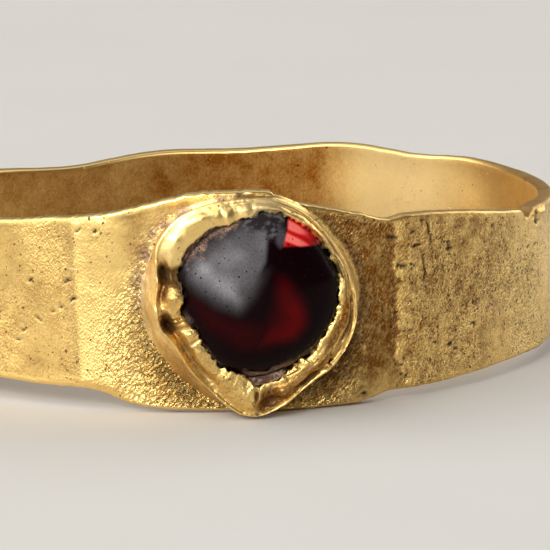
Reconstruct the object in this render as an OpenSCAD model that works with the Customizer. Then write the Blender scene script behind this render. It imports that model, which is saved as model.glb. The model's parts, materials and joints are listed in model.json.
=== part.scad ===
// Ancient gold finger ring: a hammered strap bent to a hoop, with a drop-shaped collar
// soldered to its front that holds a domed garnet on a bed of brown packing.
// +Z is the finger's axis, the stone looks along -Y, and the ring rests on z = 0.
// The origin is on the finger's axis. Lengths are in millimetres, angles in degrees.

/* [Finger hole] */
// Inner diameter of the hoop
finger_d = 18.3; // [17:0.1:20]

/* [Strap] */
// Thickness of the hammered strap
strap_t = 0.45; // [0.4:0.01:0.6]
// How far the strap's edges are rounded over
edge_round = 0.1; // [0.06:0.01:0.12]
// Hollowing of the strap's outer face between its edges
strap_dish = 0.04; // [0:0.01:0.06]
// Largest angle between two sections of the hoop
section_step = 4.5; // [3:0.5:6]

/* [Collar] */
// Sideways place of the stone's middle
stone_x = 0.23; // [0:0.01:0.3]
// Height of the stone's middle above the surface that the ring rests on
stone_z = 3.3; // [3.25:0.01:3.3]
// Angle between two sections of the collar
collar_step = 6; // [5:1:9]
// Thickness of the lip where it ends on the stone
lip_t = 0.12; // [0.08:0.01:0.14]
// Width of the solder fillet at the collar's foot
solder_w = 0.1; // [0.06:0.01:0.12]

/* [Stone] */
// Height of the stone's flat back above the strap
stone_back = 0.25; // [0.2:0.01:0.3]
// Height of the stone's widest line above the strap
stone_girdle = 0.5; // [0.45:0.01:0.55]
// Height of the dome's top above the strap
stone_top = 1.85; // [1.6:0.05:2]
// Height of the packing that shows beside the stone
packing_top = 0.74; // [0.6:0.01:0.78]
// Clear gap between the stone, the packing and the gold
gap = 0.03; // [0.02:0.005:0.04]

/* [Hidden] */

finger_r = finger_d / 2;
outer_r = finger_r + strap_t;
middle_r = finger_r + strap_t / 2;
// The hoop is swept with a little spare inside, and the finger hole is bored through it
spare = 0.3;
hole_length = 12;
bore_sides = 180;
curve_sides = 120;
// The packing starts inside the strap's wall and is cut back to the strap's outer face
packing_start = outer_r - 0.6;
pad_top = stone_back - gap;
// Near the stone's edge the dome is too steep to be followed by the lip
edge_share = 0.95;
// A share of the band between lip and ridge, for the points on both sides of its middle
band_share = 0.25;
// How far the ridge's outer side drops below its crest
ridge_drop = 0.09;
// The hollow behind the lip rises where the collar stands away from the stone
hollow_rise = 1.1;

// The hoop from the stone round by the right. Columns: angle from the stone,
// lower edge, upper edge, and how far the outer face stands out.
ANGLE = 0;
LOW = 1;
HIGH = 2;
OUT = 3;
strap_rows = [
  [-41, 0.6, 4.88, 0],
  [-32, 0.56, 5.06, -0.02],
  [-27, 0.58, 5.17, 0.05],
  [-23, 0.5, 5.26, 0.02],
  [-19, 0.26, 5.4, -0.03],
  [-15, 0.13, 5.6, 0],
  [-8, 0.1, 5.9, 0.02],
  [-2, 0.06, 5.94, 0.02],
  [4, 0.03, 5.9, 0.02],
  [6, 0, 5.64, 0.02],
  [12, 0, 5.42, 0.01],
  [19, 0.08, 5.14, 0.02],
  [24.5, 0.26, 4.9, -0.05],
  [28, 0.28, 4.96, 0.03],
  [36, 0.3, 4.88, 0],
  [44, 0.35, 4.7, 0.02],
  [51, 0.38, 4.5, 0.02],
  [54.5, 0.39, 4.4, 0.03],
  [57.5, 0.36, 4.02, 0.02],
  [60, 0.33, 4.24, 0.03],
  [64, 0.3, 4.28, 0.03],
  [72, 0.3, 4.16, 0],
  [90, 0.3, 3.97, -0.02],
  [106, 0.2, 3.84, 0.03],
  [120, 0.1, 3.78, 0],
  [134, 0, 3.57, -0.03],
  [148, 0, 3.65, 0.03],
  [165, 0.06, 3.36, 0],
  [180, 0.1, 3.26, 0.02],
  [196, 0.06, 2.96, -0.02],
  [210, 0, 3.1, 0.03],
  [224, 0, 3.34, -0.02],
  [242, 0.16, 3.66, 0.02],
  [264, 0.32, 4.06, -0.02],
  [288, 0.46, 4.44, 0.02],
  [306, 0.56, 4.72, 0.02]
];

// The collar, anticlockwise round the stone from its right-hand side. Columns: angle,
// foot on the strap, ridge, ridge's height, dip between ridge and lip, lip's inner edge,
// stone's edge, and the room between stone and collar.
FOOT = 1;
RIDGE = 2;
RIDGE_H = 3;
DIP = 4;
LIP = 5;
STONE = 6;
ROOM = 7;
collar_rows = [
  [0, 2.68, 2.58, 0.9, 0.05, 2.11, 2.24, 0.05],
  [15, 2.58, 2.5, 0.86, 0.05, 2.19, 2.28, 0.05],
  [30, 2.52, 2.46, 0.85, 0.04, 2.16, 2.25, 0.05],
  [45, 2.5, 2.46, 0.85, 0.04, 2.21, 2.27, 0.05],
  [60, 2.5, 2.5, 0.85, 0.04, 2.24, 2.31, 0.05],
  [75, 2.53, 2.58, 0.88, 0.04, 2.31, 2.37, 0.05],
  [90, 2.5, 2.64, 0.92, 0.03, 2.3, 2.34, 0.05],
  [105, 2.5, 2.7, 0.93, 0, 2.21, 2.26, 0.12],
  [120, 2.6, 2.84, 0.94, 0, 2.26, 2.17, 0.26],
  [135, 2.74, 3.02, 0.96, 0, 2.32, 2.15, 0.3],
  [150, 2.86, 3.02, 0.98, 0.02, 2.3, 2.16, 0.26],
  [165, 2.82, 2.78, 1.01, 0.3, 2.13, 2.17, 0.08],
  [180, 2.84, 2.72, 1, 0.1, 2.02, 2.15, 0.05],
  [195, 2.87, 2.7, 1, 0.26, 2.05, 2.12, 0.05],
  [210, 2.92, 2.54, 0.97, 0.26, 1.93, 2.07, 0.05],
  [225, 2.94, 2.6, 0.93, 0.24, 1.94, 2.08, 0.05],
  [240, 3, 2.74, 0.9, 0.16, 2.06, 2.16, 0.05],
  [255, 3.08, 3, 0.9, 0.08, 2.12, 2.2, 0.08],
  [270, 3.13, 3.24, 0.92, 0.04, 2.32, 2.16, 0.26],
  [285, 3.06, 2.98, 0.9, 0.1, 2.2, 2.09, 0.22],
  [300, 2.93, 2.76, 0.85, 0.1, 2.02, 2.08, 0.08],
  [315, 2.88, 2.75, 0.85, 0.08, 2.02, 2.12, 0.05],
  [330, 2.86, 2.76, 0.9, 0.06, 2.03, 2.14, 0.05],
  [345, 2.78, 2.68, 0.9, 0.05, 2.09, 2.2, 0.05]
];

// Stretches beside the stone where the packing shows: first and last angle
packing_stretches = [[116, 154], [266, 288]];

// Steps of the stone's outline from back to top: share of the edge's radius, height
dome_h = stone_top - stone_girdle;
stone_steps = concat(
  [[0.92, stone_back], [1, stone_back + 0.1]],
  [for (t = [0:13:78]) [cos(t), stone_girdle + dome_h * sin(t)]]
);

// Rows of a table carried on past both ends of the full turn
function turned(row, by) = [for (i = [0:len(row) - 1]) i == ANGLE ? row[i] + by : row[i]];
function carried_on(rows) = concat(
  [turned(rows[len(rows) - 1], -360)], rows, [turned(rows[0], 360), turned(rows[1], 360)]
);
function slope(rows, i, col) =
  (rows[i + 1][col] - rows[i - 1][col]) / (rows[i + 1][ANGLE] - rows[i - 1][ANGLE]);
// A smooth curve through a table's rows, at any angle from its first row on
function between(r, i, col, a) =
  let (h = r[i + 1][ANGLE] - r[i][ANGLE], t = (a - r[i][ANGLE]) / h)
  r[i][col] * (2 * t * t * t - 3 * t * t + 1)
  + slope(r, i, col) * h * (t * t * t - 2 * t * t + t)
  + r[i + 1][col] * (3 * t * t - 2 * t * t * t)
  + slope(r, i + 1, col) * h * (t * t * t - t * t);
function smooth(rows, col, a) =
  let (r = carried_on(rows), i = max([for (k = [1:len(rows)]) r[k][ANGLE] <= a ? k : 1]))
  between(r, i, col, a);

// Every row's own angle, with enough angles between them
function next_angle(rows, i) =
  i + 1 < len(rows) ? rows[i + 1][ANGLE] : rows[0][ANGLE] + 360;
function steps_to_next(rows, i, step) = ceil((next_angle(rows, i) - rows[i][ANGLE]) / step);
function section_angles(rows, step) = [
  for (i = [0:len(rows) - 1])
    let (n = steps_to_next(rows, i, step))
      for (k = [0:n - 1])
        rows[i][ANGLE] + (next_angle(rows, i) - rows[i][ANGLE]) * k / n
];

// Faces of a closed loop of sections, each with the same number of points
function loop_faces(sections, points) = [
  for (s = [0:sections - 1], p = [0:points - 1])
    let (s2 = (s + 1) % sections, p2 = (p + 1) % points)
      [s * points + p, s * points + p2, s2 * points + p2, s2 * points + p]
];
// Faces of a stack of rings with flat ends
function stack_faces(rings, points) = concat(
  [[for (p = [0:points - 1]) p]],
  [for (s = [0:rings - 2], p = [0:points - 1])
    let (p2 = (p + 1) % points)
      [s * points + p, (s + 1) * points + p, (s + 1) * points + p2, s * points + p2]],
  [[for (p = [points - 1:-1:0]) (rings - 1) * points + p]]
);

// A point of the hoop: angle from the stone, radius and height
function on_hoop(a, r, z) = [r * sin(a), -r * cos(a), z];
// A point of the bezel: angle round the stone, radius, and height above the strap
function across(a, r) = stone_x + r * cos(a);
function on_bezel(a, r, h) = [across(a, r), -outer_r - h, stone_z + r * sin(a)];
// Height, against the strap's front, of a cylinder of radius wall round the finger's axis
function wrap_h(a, r, wall) = sqrt(wall * wall - pow(across(a, r), 2)) - outer_r;
function dome_at(share) = stone_girdle + dome_h * sqrt(1 - pow(min(share, edge_share), 2));

function strap_section(a) =
  let (
    lo = smooth(strap_rows, LOW, a),
    hi = smooth(strap_rows, HIGH, a),
    r = outer_r + smooth(strap_rows, OUT, a)
  )
  [
    on_hoop(a, finger_r - spare, lo),
    on_hoop(a, r - edge_round, lo),
    on_hoop(a, r, lo + edge_round),
    on_hoop(a, r - strap_dish, (lo + hi) / 2),
    on_hoop(a, r, hi - edge_round),
    on_hoop(a, r - edge_round, hi),
    on_hoop(a, finger_r - spare, hi)
  ];

function collar_section(a) =
  let (
    foot = smooth(collar_rows, FOOT, a),
    ridge = smooth(collar_rows, RIDGE, a),
    ridge_h = smooth(collar_rows, RIDGE_H, a),
    lip = smooth(collar_rows, LIP, a),
    edge = smooth(collar_rows, STONE, a),
    room = smooth(collar_rows, ROOM, a),
    band = ridge - lip,
    lip_h = dome_at(lip / edge) + gap,
    dip_h = (ridge_h + lip_h + lip_t) / 2 - smooth(collar_rows, DIP, a)
  )
  [
    on_bezel(a, foot, wrap_h(a, foot, middle_r)),
    on_bezel(a, foot + solder_w, wrap_h(a, foot + solder_w, outer_r - solder_w / 2)),
    on_bezel(a, foot, wrap_h(a, foot, outer_r) + 2 * solder_w),
    on_bezel(a, ridge, ridge_h - ridge_drop),
    on_bezel(a, ridge - band * band_share, ridge_h),
    on_bezel(a, ridge - band / 2, dip_h),
    on_bezel(a, lip + band * band_share, lip_h + lip_t),
    on_bezel(a, lip, lip_h + lip_t / 2),
    on_bezel(a, lip + gap, lip_h),
    on_bezel(a, edge + room, stone_girdle + room * hollow_rise),
    on_bezel(a, edge + room, wrap_h(a, edge + room, middle_r))
  ];

// The swept hoop, a little thick on the inside
module strap_blank() {
  sections = [for (a = section_angles(strap_rows, section_step)) strap_section(a)];
  polyhedron(
    points = [for (s = sections) each s],
    faces = loop_faces(len(sections), len(sections[0])),
    convexity = 6
  );
}

// The collar round the stone, from inside the strap's wall to the lip
module collar() {
  sections = [for (a = [0:collar_step:360 - collar_step]) collar_section(a)];
  polyhedron(
    points = [for (s = sections) each s],
    faces = loop_faces(len(sections), len(sections[0])),
    convexity = 6
  );
}

module band_and_bezel() {
  color("goldenrod") difference() {
    union() {
      strap_blank();
      collar();
    }
    translate([0, 0, -hole_length / 4])
      cylinder(r = finger_r, h = hole_length, $fn = bore_sides);
  }
}

// A low dome on a flat back
module garnet() {
  color("darkred") polyhedron(
    points = [
      for (step = stone_steps, a = [0:collar_step:360 - collar_step])
        on_bezel(a, smooth(collar_rows, STONE, a) * step[0], step[1])
    ],
    faces = stack_faces(len(stone_steps), 360 / collar_step),
    convexity = 2
  );
}

// A flat outline round the stone, raised from inside the strap's wall to a height
module raised_from_strap(outline, top) {
  translate([0, -packing_start, 0])
    rotate([90, 0, 0])
      linear_extrude(height = outer_r + top - packing_start)
        polygon(outline);
}

function round_stone(angles, col_gap) = [
  for (a = angles)
    let (r = smooth(collar_rows, STONE, a) + col_gap(a))
      [across(a, r), stone_z + r * sin(a)]
];

// Earthy packing under the stone, which rises beside it where the lip stands away
module bedding() {
  outer_gap = function(a) smooth(collar_rows, ROOM, a) - gap;
  inner_gap = function(a) gap;
  color("saddlebrown") difference() {
    union() {
      raised_from_strap(
        round_stone([for (a = [0:collar_step:360 - collar_step]) a], outer_gap), pad_top
      );
      for (stretch = packing_stretches) {
        angles = [for (a = [stretch[0]:collar_step:stretch[1]]) a];
        back = [for (i = [len(angles) - 1:-1:0]) angles[i]];
        raised_from_strap(
          concat(round_stone(angles, outer_gap), round_stone(back, inner_gap)), packing_top
        );
      }
    }
    cylinder(r = outer_r + 2 * gap, h = hole_length, $fn = curve_sides);
  }
}

band_and_bezel();
garnet();
bedding();
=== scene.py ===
"""Ancient finger ring of hammered gold with a domed garnet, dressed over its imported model.

The tables and shapes are in millimetres and degrees. Meshes are made in metres, in the
model's own frame: +Z is the finger's axis, the stone looks along -Y, and the ring rests
on z = 0. An angle on the hoop is counted from the stone round by the right. An angle
round the stone is counted anticlockwise from its right-hand side.
"""

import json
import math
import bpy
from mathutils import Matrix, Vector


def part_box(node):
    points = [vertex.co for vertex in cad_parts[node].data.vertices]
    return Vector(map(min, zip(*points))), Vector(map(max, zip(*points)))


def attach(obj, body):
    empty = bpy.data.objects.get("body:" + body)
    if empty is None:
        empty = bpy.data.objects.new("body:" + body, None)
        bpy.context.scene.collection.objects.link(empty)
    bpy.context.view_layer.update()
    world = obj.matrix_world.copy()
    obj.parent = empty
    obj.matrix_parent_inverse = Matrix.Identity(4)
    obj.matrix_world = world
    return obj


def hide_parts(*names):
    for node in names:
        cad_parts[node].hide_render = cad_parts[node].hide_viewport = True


bl_info = {
    "name": "Hammered gold ring with a garnet",
    "version": (1, 0, 0),
    "blender": (4, 5, 0),
    "location": "3D View > Sidebar > Gold ring",
    "description": "Builds the strap, collar, garnet and packing of an ancient finger ring",
    "category": "Add Mesh",
}

import bpy
import numpy as np
from bpy.props import FloatProperty, FloatVectorProperty, PointerProperty
from mathutils import Vector

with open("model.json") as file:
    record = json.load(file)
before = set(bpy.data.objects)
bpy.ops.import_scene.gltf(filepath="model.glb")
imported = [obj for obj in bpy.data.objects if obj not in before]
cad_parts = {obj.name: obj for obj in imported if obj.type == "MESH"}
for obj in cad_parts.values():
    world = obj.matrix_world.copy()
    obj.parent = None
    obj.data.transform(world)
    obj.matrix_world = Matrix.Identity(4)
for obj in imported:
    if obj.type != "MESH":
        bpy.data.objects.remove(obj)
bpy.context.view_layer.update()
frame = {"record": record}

MM = 0.001
# No gold comes nearer the ground than this, in mm
LEAST_HEIGHT = 0.004
FINGER_MOUNT = next(m for m in frame["record"]["mounts"] if m["name"] == "finger_hole")
STONE_LOW, STONE_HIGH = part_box("garnet")


def linear(code):
    """The linear colour of an sRGB hex code such as #F2D488."""
    shares = [int(code[i:i + 2], 16) / 255 for i in (1, 3, 5)]
    return tuple(s / 12.92 if s <= 0.04045 else ((s + 0.055) / 1.055) ** 2.4 for s in shares)


# The hoop from the stone round by the right. Columns: angle, lower edge, upper edge,
# and how far the outer face stands out.
LOW, HIGH, OUT = 1, 2, 3
STRAP_ROWS = [
    (-41, 0.60, 4.88, 0.00), (-32, 0.56, 5.06, -0.02), (-27, 0.58, 5.17, 0.05),
    (-23, 0.50, 5.26, 0.02), (-19, 0.26, 5.40, -0.03), (-15, 0.13, 5.60, 0.00),
    (-8, 0.10, 5.88, 0.02), (-2, 0.06, 5.92, 0.02), (4.2, 0.03, 5.88, 0.02),
    (5.0, 0.02, 5.72, 0.02), (8, 0.02, 5.59, 0.02), (12, 0.02, 5.42, 0.01),
    (19, 0.08, 5.14, 0.02), (24.5, 0.26, 4.90, -0.05), (28, 0.28, 4.96, 0.03),
    (36, 0.30, 4.88, 0.00), (44, 0.35, 4.70, 0.02), (51, 0.38, 4.50, 0.02),
    (55.6, 0.38, 4.40, 0.03), (56.6, 0.37, 4.34, 0.02), (58.6, 0.36, 4.10, 0.02),
    (60.0, 0.34, 4.18, 0.03), (62, 0.32, 4.28, 0.03), (66, 0.30, 4.27, 0.03),
    (72, 0.30, 4.16, 0.00), (90, 0.30, 3.97, -0.02), (106, 0.20, 3.84, 0.03),
    (120, 0.10, 3.78, 0.00), (134, 0.02, 3.57, -0.03), (148, 0.02, 3.65, 0.03),
    (165, 0.06, 3.36, 0.00), (180, 0.10, 3.26, 0.02), (196, 0.06, 2.96, -0.02),
    (210, 0.02, 3.10, 0.03), (224, 0.02, 3.34, -0.02), (242, 0.16, 3.66, 0.02),
    (264, 0.32, 4.06, -0.02), (288, 0.46, 4.44, 0.02), (306, 0.56, 4.72, 0.02),
]

# The collar. Columns: angle round the stone, foot on the strap, outer ridge, ridge's
# height over the strap, dip between ridge and lip, and the lip's inner edge.
FOOT, RIDGE, RIDGE_H, DIP, LIP = 1, 2, 3, 4, 5
COLLAR_ROWS = [
    (0, 2.74, 2.60, 0.90, 0.02, 2.12), (8, 2.68, 2.51, 0.88, 0.01, 2.18),
    (15, 2.60, 2.48, 0.86, 0.01, 2.21), (22, 2.56, 2.45, 0.85, 0.01, 2.20),
    (30, 2.46, 2.43, 0.85, 0.01, 2.16), (37, 2.43, 2.43, 0.85, 0.01, 2.18),
    (45, 2.43, 2.44, 0.85, 0.01, 2.21), (60, 2.44, 2.49, 0.85, 0.01, 2.22),
    (68, 2.46, 2.53, 0.86, 0.01, 2.24), (75, 2.48, 2.57, 0.88, 0.01, 2.29),
    (82, 2.47, 2.60, 0.90, 0.01, 2.29), (90, 2.45, 2.62, 0.92, 0.02, 2.26),
    (97, 2.46, 2.64, 0.94, 0.00, 2.17), (105, 2.48, 2.68, 0.93, -0.02, 2.15),
    (112, 2.53, 2.75, 0.93, -0.03, 2.09), (120, 2.59, 2.84, 0.94, -0.03, 2.22),
    (127, 2.66, 2.93, 0.95, -0.03, 2.26), (135, 2.75, 3.02, 0.96, -0.03, 2.28),
    (142, 2.81, 3.05, 0.97, -0.02, 2.31), (150, 2.86, 3.04, 0.98, 0.00, 2.29),
    (156, 2.84, 2.96, 1.00, 0.05, 2.24), (163, 2.82, 2.81, 1.04, 0.30, 2.19),
    (168, 2.81, 2.73, 1.03, 0.24, 2.08), (173, 2.82, 2.70, 1.02, 0.08, 2.01),
    (180, 2.84, 2.72, 1.00, 0.02, 1.99), (186, 2.86, 2.74, 1.00, 0.10, 2.03),
    (191, 2.87, 2.73, 1.00, 0.26, 2.04), (197, 2.88, 2.69, 1.00, 0.36, 2.04),
    (204, 2.90, 2.60, 0.99, 0.27, 1.89), (210, 2.91, 2.55, 0.97, 0.22, 1.87),
    (217, 2.92, 2.56, 0.95, 0.20, 1.90), (225, 2.94, 2.62, 0.93, 0.18, 1.93),
    (232, 2.97, 2.68, 0.91, 0.15, 2.00), (240, 3.00, 2.75, 0.90, 0.12, 2.06),
    (247, 3.06, 2.86, 0.90, 0.08, 2.06), (255, 3.12, 3.03, 0.90, 0.05, 2.10),
    (262, 3.18, 3.18, 0.91, 0.02, 2.18), (267, 3.20, 3.22, 0.93, 0.00, 2.36),
    (271, 3.18, 3.21, 0.92, 0.06, 2.44), (276, 3.13, 3.14, 0.91, 0.08, 2.34),
    (283, 3.07, 3.02, 0.90, 0.06, 2.28), (290, 2.98, 2.90, 0.87, 0.06, 2.19),
    (297, 2.93, 2.80, 0.84, 0.05, 2.07), (305, 2.90, 2.74, 0.84, 0.04, 2.03),
    (313, 2.88, 2.77, 0.88, 0.03, 2.07), (322, 2.88, 2.76, 0.90, 0.03, 2.04),
    (330, 2.86, 2.76, 0.90, 0.02, 2.04), (338, 2.84, 2.74, 0.90, 0.02, 2.09),
    (346, 2.81, 2.70, 0.90, 0.02, 2.13), (353, 2.78, 2.64, 0.90, 0.02, 2.14),
]

# The stone. Columns: angle, its edge, and the room between it and the collar.
EDGE, ROOM = 1, 2
STONE_ROWS = [
    (0, 2.24, 0.05), (15, 2.28, 0.05), (30, 2.25, 0.05), (45, 2.27, 0.05),
    (60, 2.31, 0.05), (75, 2.37, 0.05), (90, 2.34, 0.05), (105, 2.26, 0.12),
    (120, 2.17, 0.26), (135, 2.15, 0.30), (150, 2.16, 0.26), (165, 2.17, 0.08),
    (180, 2.15, 0.05), (195, 2.12, 0.05), (210, 2.07, 0.05), (225, 2.08, 0.05),
    (240, 2.16, 0.05), (255, 2.20, 0.08), (270, 2.16, 0.26), (285, 2.09, 0.22),
    (300, 2.08, 0.08), (315, 2.12, 0.05), (330, 2.14, 0.05), (345, 2.20, 0.05),
]

# The stone is drawn this much fuller than its solid, inside the room round it
STONE_SPARE = 0.025

# Creases across the strap, each a line of height and angle
LEFT_CREASE = [(0.62, -25.7), (2.87, -26.4), (5.16, -27.1)]
LEFT_FOLD = [(0.30, -17.6), (4.00, -18.3), (5.40, -19.0)]
LEFT_SWELL = [(0.30, -21.0), (5.20, -21.8)]
RIGHT_CREASE = [(0.37, 26.7), (1.44, 26.2), (2.64, 26.6), (3.67, 26.2), (4.41, 25.4), (4.93, 25.0)]

# Brown film on the inner face of the hoop, which also paints the shade inside it: angle and share
INNER_FILM_AND_SHADE = [
    (0, 0.6), (60, 0.4), (104, 0.3), (118, 0.05), (131, 0.0), (143, 0.0), (148, 0.5),
    (154, 1.05), (176, 1.05), (187, 0.75), (210, 0.75), (300, 0.6),
]

# Nicks, pits and scratches in the strap. Columns: angle, height, half length, half
# width, tilt from the level, and depth (below nothing for a raised lump).
STRAP_MARKS = [
    (-28.4, 3.40, 0.17, 0.035, 20, 0.05), (-27.4, 2.93, 0.13, 0.035, 20, 0.05),
    (-23.7, 4.78, 0.08, 0.040, 75, 0.08), (-26.3, 4.81, 0.06, 0.030, 50, 0.06),
    (-29.5, 2.71, 0.07, 0.060, 0, 0.05), (-37.3, 1.70, 0.05, 0.040, 0, 0.05),
    (-34.9, 3.35, 0.10, 0.040, 70, 0.05), (-33.4, 2.30, 0.12, 0.030, -30, 0.03),
    (-36.2, 1.95, 0.05, 0.040, 0, 0.05), (-31.0, 2.55, 0.05, 0.040, 0, 0.05),
    (-27.2, 5.10, 0.28, 0.070, 0, 0.08), (-23.0, 5.20, 0.20, 0.070, 4, 0.07),
    (-14.4, 5.60, 0.30, 0.045, 12, 0.09), (-16.8, 5.50, 0.12, 0.045, 12, 0.06),
    (0.4, 5.80, 0.34, 0.060, -4, 0.14),
    (25.0, 4.40, 0.20, 0.040, -5, 0.07), (29.4, 4.10, 0.18, 0.045, 5, 0.07),
    (26.6, 3.62, 0.15, 0.055, -25, 0.08), (25.4, 3.62, 0.05, 0.200, 0, -0.04),
    (31.9, 4.45, 0.44, 0.040, -76, 0.05), (32.5, 4.50, 0.30, 0.035, -72, -0.03),
    (30.9, 3.45, 0.46, 0.030, -85, 0.04), (50.3, 3.80, 0.66, 0.025, -60, 0.03),
    (42.0, 1.70, 0.07, 0.045, 60, 0.08), (42.5, 1.70, 0.07, 0.040, 120, 0.07),
    (36.3, 3.89, 0.08, 0.045, 10, 0.06), (43.5, 2.95, 0.05, 0.035, 60, 0.06),
    (27.0, 1.10, 0.06, 0.050, 0, 0.07), (51.8, 1.73, 0.05, 0.040, 0, 0.05),
    (19.8, 0.30, 0.12, 0.060, 0, 0.08), (27.6, 1.84, 0.20, 0.028, -10, 0.04),
    (28.6, 4.52, 0.08, 0.040, 10, 0.05), (30.4, 4.74, 0.06, 0.050, 0, 0.07),
    (23.3, 3.90, 0.10, 0.030, 25, 0.04), (36.0, 4.05, 0.07, 0.035, 0, 0.04),
    (47.0, 4.20, 0.08, 0.060, 30, 0.05), (45.2, 4.42, 0.06, 0.040, 0, 0.04),
    (44.0, 3.40, 0.07, 0.050, 0, 0.05), (59.5, 3.26, 0.12, 0.040, 8, 0.05),
    (62.5, 3.22, 0.11, 0.040, 20, 0.06), (66.0, 3.08, 0.10, 0.040, 15, 0.05),
    (33.5, 1.40, 0.10, 0.050, -30, 0.05), (36.5, 1.30, 0.12, 0.050, 20, 0.05),
    (37.8, 1.15, 0.10, 0.045, -50, 0.05), (27.4, 0.62, 0.08, 0.050, 0, 0.06),
    (63.7, 4.18, 0.10, 0.080, 55, 0.14), (62.3, 4.03, 0.15, 0.080, -75, 0.16),
    (64.3, 3.92, 0.10, 0.080, 10, 0.14), (62.9, 3.84, 0.10, 0.080, -30, 0.13),
    (64.6, 4.08, 0.55, 0.170, -4, -0.10), (57.7, 4.12, 0.08, 0.080, 0, 0.12),
    (-18.6, 5.36, 0.20, 0.050, 10, 0.10),
]
# The marks are cut a little shorter and narrower than the table says, and fade out
# within so many half sizes
MARK_LONG, MARK_WIDE, MARK_REACH = 0.85, 0.75, 3.0

# Lumps and hollows in the collar's upper side. Columns: angle round the stone, share of
# the way from ridge to lip, half length along, half width across, and rise.
COLLAR_MARKS = [
    (165.5, 0.58, 0.19, 0.5, -0.27), (180, 0.80, 0.33, 0.25, 0.13), (176, 0.28, 0.26, 0.15, -0.12),
    (188.5, 0.44, 0.15, 0.30, 0.10), (194.0, 0.72, 0.05, 0.20, -0.08),
    (198.0, 0.42, 0.14, 0.34, -0.22), (206, 0.86, 0.10, 0.10, 0.05),
    (213, 0.82, 0.08, 0.12, -0.05), (221, 0.84, 0.14, 0.12, 0.03),
    (112, 0.92, 0.06, 0.10, 0.015), (128, 0.45, 0.30, 0.16, 0.03),
    (146, 0.55, 0.22, 0.18, 0.03), (154, 0.82, 0.12, 0.14, 0.01),
    (268.6, 0.90, 0.05, 0.22, -0.14), (276.5, 0.46, 0.26, 0.32, -0.15),
    (284, 0.60, 0.16, 0.16, 0.05), (301, 0.20, 0.34, 0.12, -0.16),
    (308, 0.62, 0.20, 0.10, 0.04), (314, 0.12, 0.06, 0.10, 0.07),
    (317.5, 0.26, 0.07, 0.08, -0.10), (12, 0.30, 0.07, 0.06, -0.08),
    (356, 0.35, 0.09, 0.05, -0.06), (335, 0.40, 0.30, 0.06, -0.05),
    (40, 0.35, 0.40, 0.05, -0.04), (70, 0.30, 0.30, 0.06, -0.03),
]
# Their lengths are measured this far from the stone's middle
LUMP_RADIUS = 2.5

# Patches of light inside the stone, as outlines across and up from its middle
RED_WINDOW = [
    (0.80, 2.10), (0.74, 1.85), (0.58, 1.44), (1.15, 1.41), (1.74, 1.38), (1.64, 1.55), (1.30, 1.80),
    (1.00, 2.00),
]
RED_GLOW = [
    (0.40, 0.70), (0.62, 0.62), (1.00, 0.16), (1.20, -0.30), (1.18, -0.70), (0.95, -1.02),
    (-0.10, -1.18), (0.12, -0.74), (0.34, 0.00),
]
GLOW_CORE = [(0.66, 0.20), (0.94, -0.28), (0.96, -0.52), (0.60, -0.84), (0.25, -1.00)]
LOW_RED = [
    (-1.75, 0.05), (-1.05, -0.35), (-0.35, -0.55), (0.05, -0.60), (0.15, -1.25), (-0.50, -1.25),
    (-1.40, -0.65),
]
# Painted reflection of the big softbox on the stone's skin, its brighter painted streak, and a small
# grey spot, as outlines across and up from its middle
SHEEN_OUTLINE = [
    (-2.00, 1.00), (-1.82, 0.74), (-1.60, 0.44), (-1.16, 0.12), (-0.66, -0.06), (-0.36, 0.28),
    (-0.16, 0.66), (0.10, 1.10), (0.16, 1.60), (0.18, 1.86), (-0.40, 1.84), (-1.00, 1.62),
    (-1.45, 1.32), (-1.80, 1.08),
]
SHEEN_STREAK = [(-1.50, 0.84), (-1.12, 0.50), (-0.74, 0.16)]
GREY_SPOT = [(0.42, 1.90), (0.66, 1.86), (0.66, 1.55), (0.50, 1.42), (0.40, 1.55)]

# Dusty crust on the stone's edge. Columns: start, full, waning and end round the stone,
# and share
CRUST_ROWS = [
    (100, 112, 142, 160, 1.0), (184, 205, 225, 250, 0.5), (255, 266, 296, 312, 1.0),
    (296, 306, 322, 336, 0.45),
]


def length(name, size_mm, words):
    """A length setting with a default in mm."""
    return FloatProperty(name=name, description=words, unit="LENGTH", default=size_mm * MM)


class RingSizes(bpy.types.PropertyGroup):
    """Sizes of the ring that a user may change"""

    finger_radius: length(
        "Finger radius", FINGER_MOUNT["dims"]["r_mm"], "Inner radius of the hoop"
    )
    strap_thickness: length("Strap thickness", 0.45, "Thickness of the hammered strap")
    edge_round: length("Edge rounding", 0.09, "How far the strap's edges are worn round")
    strap_dish: length("Strap hollowing", 0.04, "Hollowing of the outer face between its edges")
    dent_depth: length("Dent depth", 0.024, "Depth of the broad dents from hammer and wear")
    grain_height: length("Granule height", 0.035, "Height of the grains beside the solder")
    lip_thickness: length("Lip thickness", 0.09, "Thickness of the collar's lip on the stone")
    stone_girdle: length("Girdle height", 0.5, "Height of the stone's widest line over the strap")
    packing_top: length("Packing height", 0.84, "Height of the packing beside the stone")
    gap: length("Gap", 0.03, "Clear gap between stone, packing and gold")


def colour(name, code, words):
    """A colour setting with an sRGB hex default."""
    return FloatVectorProperty(
        name=name, description=words, subtype="COLOR", size=3, min=0, max=1, default=linear(code)
    )


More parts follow.
